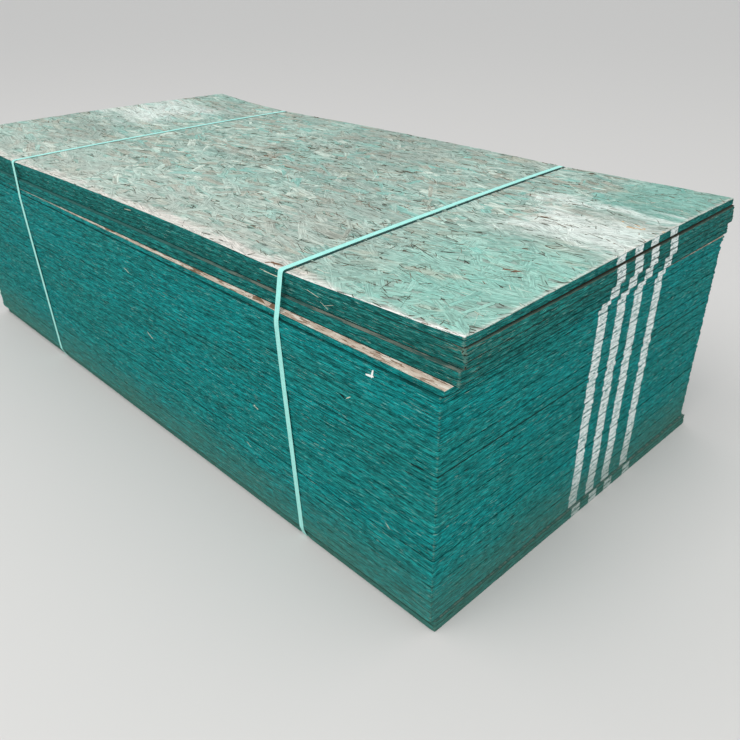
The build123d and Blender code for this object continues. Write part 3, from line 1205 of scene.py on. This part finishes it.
def bleach(tree, place, colour):
    """The spray, and a front edge and near end bleached with a pink cast."""
    own_x, own_y = noted(tree, "own")[:2]
    wobble = maths(tree, "MULTIPLY_ADD", noise(tree, place, (9, 34, 1), 5, 0.7), 0.30, -0.15)
    colour = sprayed_white(tree, place, colour, wobble)
    from_front = maths(tree, "ADD", own_y, width / 2)
    near_narrower = step(tree, own_x, 0.55, 1.1, 0.0, 0.030)
    far_narrower = step(tree, own_x, 0.4, -0.5, 0.0, 0.010)
    edge_place = maths(tree, "ADD", from_front, maths(tree, "ADD", near_narrower, far_narrower))
    edge_place = maths(tree, "ADD", edge_place, maths(tree, "MULTIPLY", wobble, 0.42))
    bleached_front = maths(tree, "MULTIPLY", step(tree, edge_place, 0.058, 0.006), 0.66)
    from_near = maths(tree, "SUBTRACT", length / 2, own_x)
    from_near = maths(tree, "ADD", from_near, maths(tree, "MULTIPLY", wobble, 0.10))
    bleached_end = maths(tree, "MULTIPLY", step(tree, from_near, 0.014, 0.0), 0.45)
    bleached = maths(tree, "MAXIMUM", bleached_front, bleached_end)
    colour = mix(tree, bleached, colour, (0.76, 0.68, 0.63))
    rim = step(tree, maths(tree, "ADD", from_front, maths(tree, "MULTIPLY", wobble, 0.05)), 0.006, 0.002)
    rim = maths(tree, "MULTIPLY", rim, step(tree, own_x, 0.2, 1.1, 0.15, 0.85))
    return mix(tree, rim, colour, (0.90, 0.88, 0.84))


print("the top is", round(length * width, 2), "square metres")

# %% [markdown]
# ### The colours of the strands
# Sun and rain have bleached the top to a mint grey. Each strand has its own colour, chosen by the three
# numbers that it noted, from pale mint to tan. Large, soft patches then make whole regions greyer,
# mintier, sandier or paler, as they are on the real sheet.

# %% Colour the strands
def strand_colours(tree):
    """One colour for each strand."""
    first, second, third = noted(tree, "strand")
    colour = mix(tree, first, (0.240, 0.345, 0.300), (0.440, 0.560, 0.490))
    colour = mix(tree, step(tree, second, 0.70, 0.74), colour, (0.340, 0.360, 0.300))
    colour = mix(tree, step(tree, second, 0.88, 0.91), colour, (0.240, 0.460, 0.400))
    return mix(tree, step(tree, third, 0.91, 0.93), colour, (0.54, 0.63, 0.55))


def region_colours(tree, place, colour):
    """Grey, mint, sandy and pale regions over the strands."""
    own_x, own_y = noted(tree, "own")[:2]
    patch = noise(tree, place, (1.7, 1.7, 1), 3, 0.6)
    drift = noise(tree, place, (5, 14, 1), 3, 0.6)
    greyed = maths(tree, "MULTIPLY", step(tree, patch, 0.44, 0.58), 0.50)
    colour = mix(tree, greyed, colour, (0.270, 0.305, 0.268))
    fresh = maths(tree, "MULTIPLY", step(tree, own_x, 0.60, 1.05), step(tree, own_y, 0.05, -0.25))
    colour = mix(tree, maths(tree, "MULTIPLY", fresh, 0.60), colour, (0.230, 0.540, 0.450))
    fresh_back = maths(tree, "MULTIPLY", step(tree, own_x, 0.88, 1.02), step(tree, own_y, 0.20, 0.30))
    colour = mix(tree, maths(tree, "MULTIPLY", fresh_back, 0.70), colour, (0.150, 0.380, 0.320))
    minty = maths(tree, "MULTIPLY", step(tree, drift, 0.50, 0.70), 0.45)
    colour = mix(tree, minty, colour, (0.270, 0.500, 0.430))
    sandy = maths(tree, "MULTIPLY", step(tree, drift, 0.44, 0.30), 0.55)
    colour = mix(tree, sandy, colour, (0.450, 0.450, 0.360))
    pale_front = maths(tree, "MULTIPLY", step(tree, own_y, -0.15, -0.50), step(tree, own_x, 0.75, 0.45))
    return mix(tree, maths(tree, "MULTIPLY", pale_front, 0.30), colour, (0.560, 0.600, 0.530))


print("points of the strands that note a colour:", len(strands.data.attributes["strand"].data))

# %% [markdown]
# ### Painted shadow beside the straps
# A strap casts a thin shadow along its near side, which is painted on the board. A straight line is
# fitted to the points of the strap that lie on the top, and what lies just beside it is darkened.

# %% Darken the board beside the straps
strap_shadow_strength = {"strap_near_end": 1.0, "strap_far_end": 0.35}
strap_shadow_half = 0.0052


def strap_shadowed(tree, place, colour):
    """A painted shadow along the near side of each strap."""
    x, y = axes(tree, place)[:2]
    for name, strength in strap_shadow_strength.items():
        line = strap_lines[name]
        high = line.points[line.points[:, 2] > line.points[:, 2].max() - 0.02]
        slope, start = np.polyfit(high[:, 1], high[:, 0], 1)
        off = maths(tree, "MULTIPLY_ADD", y, -slope, x)
        strap_shadow = maths(tree, "COMPARE", off, start + line.half_width + strap_shadow_half, strap_shadow_half)
        # Painted shadow: the board just beside the strap's near side is darkened.
        colour = mix(tree, maths(tree, "MULTIPLY", strap_shadow, strength), colour, (0.010, 0.046, 0.042))
    return colour


print("the dirt beside a strap is", 2 * strap_shadow_half, "m wide")

# %% [markdown]
# ### The weathered top
# Now the layers come together. The strands get their colours, the bleaching, fine grain along each
# strand, specks and the painted shadows beside the straps. The board between them is duller, and the
# slivers are dark, apart from a few pale fibres and the orange mark.

# %% Make the weathered finishes
def shade_top():
    """Weathered strands, each of its own colour, with grain along it."""
    finish, tree, place, shader = new_finish("weathered_strands", 0.8)
    along, across = noted(tree, "grain")[:2]
    third = noted(tree, "strand")[2]
    colour = bleach(tree, place, region_colours(tree, place, strand_colours(tree)))
    grain_place = put(tree, "ShaderNodeCombineXYZ", X=along, Y=across, Z=third).outputs[0]
    lines = noise(tree, grain_place, (18, 230, 9), 3, 0.7)
    colour = brighten(tree, colour, step(tree, lines, 0.34, 0.64, 0.66, 1.20))
    speck = noise(tree, place, (48, 170, 1), 3, 0.75)
    dark_speck = maths(tree, "MULTIPLY", step(tree, speck, 0.40, 0.33), 0.6)
    colour = mix(tree, dark_speck, colour, (0.10, 0.112, 0.085))
    pale_speck = maths(tree, "MULTIPLY", step(tree, speck, 0.60, 0.67), 0.45)
    colour = mix(tree, pale_speck, colour, (0.70, 0.76, 0.68))
    colour = strap_shadowed(tree, place, colour)
    tree.links.new(colour, shader.inputs["Base Color"])
    add_relief(tree, shader, lines, 0.5, 0.0005)
    return finish


def shade_gap():
    """The board between the strands, mint grey and dirty."""
    finish, tree, place, shader = new_finish("dusty_gaps", 0.9)
    spots = noise(tree, place, (24, 110, 1), 4, 0.7)
    colour = mix(tree, step(tree, spots, 0.36, 0.56), (0.140, 0.175, 0.150), (0.300, 0.430, 0.370))
    colour = bleach(tree, place, colour)
    tree.links.new(colour, shader.inputs["Base Color"])
    return finish


def shade_sliver():
    """Dirt and dark bark in the cracks, with a few pale fibres."""
    finish, tree, place, shader = new_finish("dark_slivers", 0.9)
    first, second, third = noted(tree, "strand")
    colour = mix(tree, first, (0.055, 0.050, 0.036), (0.130, 0.135, 0.100))
    colour = mix(tree, step(tree, second, 0.80, 0.82), colour, (0.17, 0.095, 0.055))
    colour = mix(tree, step(tree, third, 0.92, 0.93), colour, (0.62, 0.66, 0.56))
    colour = mix(tree, step(tree, first, 1.2, 1.3), colour, (0.56, 0.36, 0.19))
    tree.links.new(colour, shader.inputs["Base Color"])
    return finish


strands.data.materials.append(shade_top())
slivers.data.materials.append(shade_sliver())
note_facts(board, 0.98, 0.85, 0.0, 0.8)
paint_sheet(board, shade_gap())
print("the weathered strands' finish has", len(strands.data.materials[0].node_tree.nodes), "nodes")

# %% [markdown]
# ### A link of strapping
# The straps are flat plastic bands with a fine embossed pattern. The pattern could be a bump in the
# material, but a raised form catches the light from every side. So a short length of band is modelled:
# a flat block whose top gets one raised lozenge, open at both ends so that links can be joined.

# %% Model a link
link_length = 0.012
strap_thickness = 0.0009
strap_half_width = strap_lines[strap_names[0]].half_width
base_share = 0.72
lozenge_inset = 0.0008


def pick_faces(piece, wanted):
    """In edit mode, select the faces for which wanted(middle, normal) is true."""
    bpy.ops.mesh.select_mode(type="FACE")
    bpy.ops.mesh.select_all(action="DESELECT")
    shape = bmesh.from_edit_mesh(piece.data)
    for face in shape.faces:
        face.select = wanted(face.calc_center_median(), face.normal)
    bmesh.update_edit_mesh(piece.data)


def in_lozenge(middle, normal):
    """True for the upper faces in the middle of a link."""
    across = abs(middle.y) < 0.5 * strap_half_width
    along = abs(middle.x - link_length / 2) < 0.3 * link_length
    return normal.z > 0.9 and across and along


def model_link():
    """A short length of band with a raised lozenge, lying along +X with its underside at height 0."""
    bpy.ops.object.select_all(action="DESELECT")
    base = base_share * strap_thickness
    bpy.ops.mesh.primitive_cube_add(size=1, location=(link_length / 2, 0, base / 2))
    piece = bpy.context.object
    piece.scale = (link_length, 2 * strap_half_width, base)
    bpy.ops.object.transform_apply(location=True, scale=True)
    bpy.ops.object.mode_set(mode="EDIT")
    pick_edges(piece, lambda middle, along: abs(along.x) > 0.99)
    bpy.ops.mesh.subdivide(number_cuts=3)
    pick_edges(piece, lambda middle, along: abs(along.y) > 0.99 and middle.z > base / 2)
    bpy.ops.mesh.subdivide(number_cuts=3)
    pick_faces(piece, in_lozenge)
    bpy.ops.mesh.inset(thickness=lozenge_inset)
    bpy.ops.transform.translate(value=(0, 0, (1 - base_share) * strap_thickness))
    pick_faces(piece, lambda middle, normal: abs(normal.x) > 0.9)
    bpy.ops.mesh.delete(type="FACE")
    bpy.ops.object.mode_set(mode="OBJECT")
    return piece


print("a link is", link_length, "m long and", round(2 * strap_half_width, 4), "m wide")

# %% [markdown]
# ### Bending a band round the stack
# A Curve modifier could bend the band, but it twists at sharp turns. The line that was read from the
# frame says where the strap lies, so the band is bent by arithmetic: its length becomes the way along
# the line, its width stays along X, and its height points outwards.

# %% Bend a band
def ring_of(line):
    """The way along a strap's closed line up to each of its points, the points and the outward directions."""
    ring = np.vstack([line.points, line.points[:1]])
    outward = np.vstack([line.outward, line.outward[:1]])
    steps = np.hypot(np.diff(ring[:, 1]), np.diff(ring[:, 2]))
    return np.concatenate([[0], np.cumsum(steps)]), ring, outward


def bend_round(flat, line):
    """Where the points of a straight band go when it is laid along the strap's line."""
    way, ring, outward = ring_of(line)
    at = flat[:, 0] % way[-1]
    middle = np.stack([np.interp(at, way, ring[:, axis]) for axis in range(3)], axis=1)
    out = np.stack([np.interp(at, way, outward[:, axis]) for axis in range(3)], axis=1)
    out /= np.linalg.norm(out, axis=1, keepdims=True)
    bent = middle + out * flat[:, 2:3]
    bent[:, 0] += flat[:, 1]
    return bent


for name, line in strap_lines.items():
    print(name, "is", round(ring_of(line)[0][-1], 3), "m long")

# %% [markdown]
# ### A straight band
# An Array modifier repeats the link to the length that is asked for and merges the points where links
# meet. A band that will be a ring stays open at its ends, and a short one for the weld gets them
# filled. The band notes its straight coordinates, so that the plastic's lines can follow it later.

# %% Make a band
weld_distance = 0.00005


def make_band(links, closed):
    """A straight band of so many links, whose ends are filled where it isn't closed into a ring."""
    band = model_link()
    repeat = band.modifiers.new("repeat", "ARRAY")
    repeat.count = links
    repeat.use_merge_vertices = True
    repeat.merge_threshold = weld_distance
    bpy.ops.object.modifier_apply(modifier="repeat")
    if not closed:
        bpy.ops.object.mode_set(mode="EDIT")
        bpy.ops.mesh.select_mode(type="VERT")
        bpy.ops.mesh.select_all(action="DESELECT")
        bpy.ops.mesh.select_non_manifold()
        bpy.ops.mesh.fill_holes(sides=0)
        bpy.ops.object.mode_set(mode="OBJECT")
    note_vector(band, "own", points_of(band))
    return band


print("points closer than", weld_distance, "m are merged")

# %% [markdown]
# ### The straps
# Each strap goes round the stack once, in a whole number of links, and where its two ends are welded a
# second length of band lies over the first. The weld is low on the back.

# %% Make the straps
weld_height = 0.33
weld_links = 4


def weld_place(line):
    """How far along the ring the strap's ends are welded, low on the stack's back."""
    way = ring_of(line)[0][:-1]
    back = line.points[:, 1] > 0.5
    height = line.points[back, 2]
    order = np.argsort(height)
    return np.interp(weld_height, height[order], way[back][order])


straps = {}
for name in strap_names:
    line = strap_lines[name]
    ring_length = ring_of(line)[0][-1]
    links = round(ring_length / link_length)
    band = make_band(links, closed=True)
    band.name = "embossed_" + name
    flat = points_of(band)
    flat[:, 0] *= ring_length / (links * link_length)
    set_points(band, bend_round(flat, line))
    bpy.ops.object.mode_set(mode="EDIT")
    bpy.ops.mesh.select_all(action="SELECT")
    bpy.ops.mesh.remove_doubles(threshold=weld_distance)
    bpy.ops.object.mode_set(mode="OBJECT")

    lap = make_band(weld_links, closed=False)
    flat = points_of(lap) + np.array((weld_place(line) - weld_links * link_length / 2, 0, strap_thickness))
    set_points(lap, bend_round(flat, line))
    band.select_set(True)
    lap.select_set(True)
    bpy.context.view_layer.objects.active = band
    bpy.ops.object.join()
    bpy.ops.object.mode_set(mode="EDIT")
    bpy.ops.mesh.select_all(action="SELECT")
    bpy.ops.mesh.normals_make_consistent(inside=False)
    bpy.ops.object.mode_set(mode="OBJECT")
    straps[name] = band
    print(name, "has", links, "links")

# %% [markdown]
# ### The straps' plastic
# Such strapping is drawn through rollers, which leaves faint lines along it and a slight shine. The
# lines read the straight coordinates that the band noted, so they follow it round every turn.

# %% Colour the straps
def shade_strap():
    """Light aqua plastic with a slight shine and faint length-wise lines."""
    finish, tree, place, shader = new_finish("strap_plastic", 0.38, 0.5)
    along, across = noted(tree, "own")[:2]
    flat_place = put(tree, "ShaderNodeCombineXYZ", X=along, Y=across).outputs[0]
    lines = noise(tree, flat_place, (30, 900, 1), 2, 0.5)
    colour = mix(tree, step(tree, lines, 0.35, 0.65), (0.25, 0.67, 0.58), (0.38, 0.83, 0.76))
    tree.links.new(colour, shader.inputs["Base Color"])
    return finish


strap_plastic = shade_strap()
for band in straps.values():
    band.data.materials.clear()
    band.data.materials.append(strap_plastic)
print("coloured", len(straps), "straps")

# %% [markdown]
# ### The straps' bite
# A tight strap crushes the arrises that it goes round. So every point of a sheet that lies outside a
# strap's line, within its width and a little beside it, is pushed back to just inside that line. A
# Boolean could cut the bites, but pushing keeps the rough edges whole.

# %% Press the edges in
press_margin = 0.012
press_fade = 0.006
press_clearance = 0.0002


def press_in(points):
    """Push the points under a strap inside its line, and their neighbours a little."""
    for line in strap_lines.values():
        off = np.abs(points[:, 0] - strap_x(line, points))
        share = np.clip((line.half_width + press_margin - off) / press_fade, 0, 1)
        for start, end in zip(line.points, np.roll(line.points, -1, axis=0)):
            outward = np.array([end[2] - start[2], start[1] - end[1]])
            size = np.hypot(*outward)
            if size < 1e-6:
                continue
            outward /= size
            out = (points[:, 1] - start[1]) * outward[0] + (points[:, 2] - start[2]) * outward[1]
            back = share * np.maximum(out + press_clearance, 0)
            points[:, 1] -= back * outward[0]
            points[:, 2] -= back * outward[1]
    return points


print("the straps press in the edges up to", press_margin, "m beside them")

# %% [markdown]
# ### The straps' pull
# The straps also hold the swollen upper sheets down, most at the front edge: near a strap the upper
# lifts settle by a few millimetres, the more the higher they lie, and the straps go down with them.
# The pull fades along the stack in a bell-shaped curve.

# %% Settle the upper lifts
settled = {"strap_near_end": 0.0100, "strap_far_end": 0.0065}
settled_reach = 0.30
settled_back = 0.5
firm_height = seats["sheet_42"].high
top_height = seats["sheet_47"].high + thickness


def settle(points):
    """Lower the points above the firm sheets near the straps."""
    hold = np.interp(points[:, 1], (0.0, width / 2), (1.0, settled_back))
    share = np.clip((points[:, 2] - firm_height) / (top_height - firm_height), 0, 1)
    for name, line in strap_lines.items():
        near = np.exp(-(((points[:, 0] - strap_x(line, points)) / settled_reach) ** 2))
        points[:, 2] -= settled[name] * near * hold * share
    return points


for piece in (*sheets.values(), board, strands, slivers, fibres_and_shadows):
    set_points(piece, settle(press_in(points_of(piece))))
for band in straps.values():
    set_points(band, settle(points_of(band)))
print("the upper lifts settle above", round(firm_height, 4), "m by up to", settled)

# %% [markdown]
# ### Hand the pieces over
# Each modelled sheet and strap stands for its solid in the frame and lies on the stack's only body. The
# strands, slivers and fibres stand for no solid, so they only ride along. The blanks were patterns for
# copies, and they are taken away.

# %% Ride and replace
for name, piece in sheets.items():
    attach(piece, "root")
    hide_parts(name)
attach(board, "root")
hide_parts(top_name)
for flakes in (strands, slivers):
    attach(flakes, "root")
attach(fibres_and_shadows, "root")
for name, band in straps.items():
    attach(band, "root")
    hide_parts(name)
for spare in (blank, fine_blank, pattern_place, *strand_kinds, *sliver_kinds):
    bpy.data.objects.remove(spare)
print("handed over", len(sheets) + len(straps) + 4, "pieces")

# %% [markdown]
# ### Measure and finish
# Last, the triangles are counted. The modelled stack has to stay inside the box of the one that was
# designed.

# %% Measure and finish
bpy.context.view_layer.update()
triangles = 0
for piece in (*sheets.values(), board, strands, slivers, fibres_and_shadows, *straps.values()):
    piece.data.calc_loop_triangles()
    triangles += len(piece.data.loop_triangles)
print("triangles in all:", triangles)
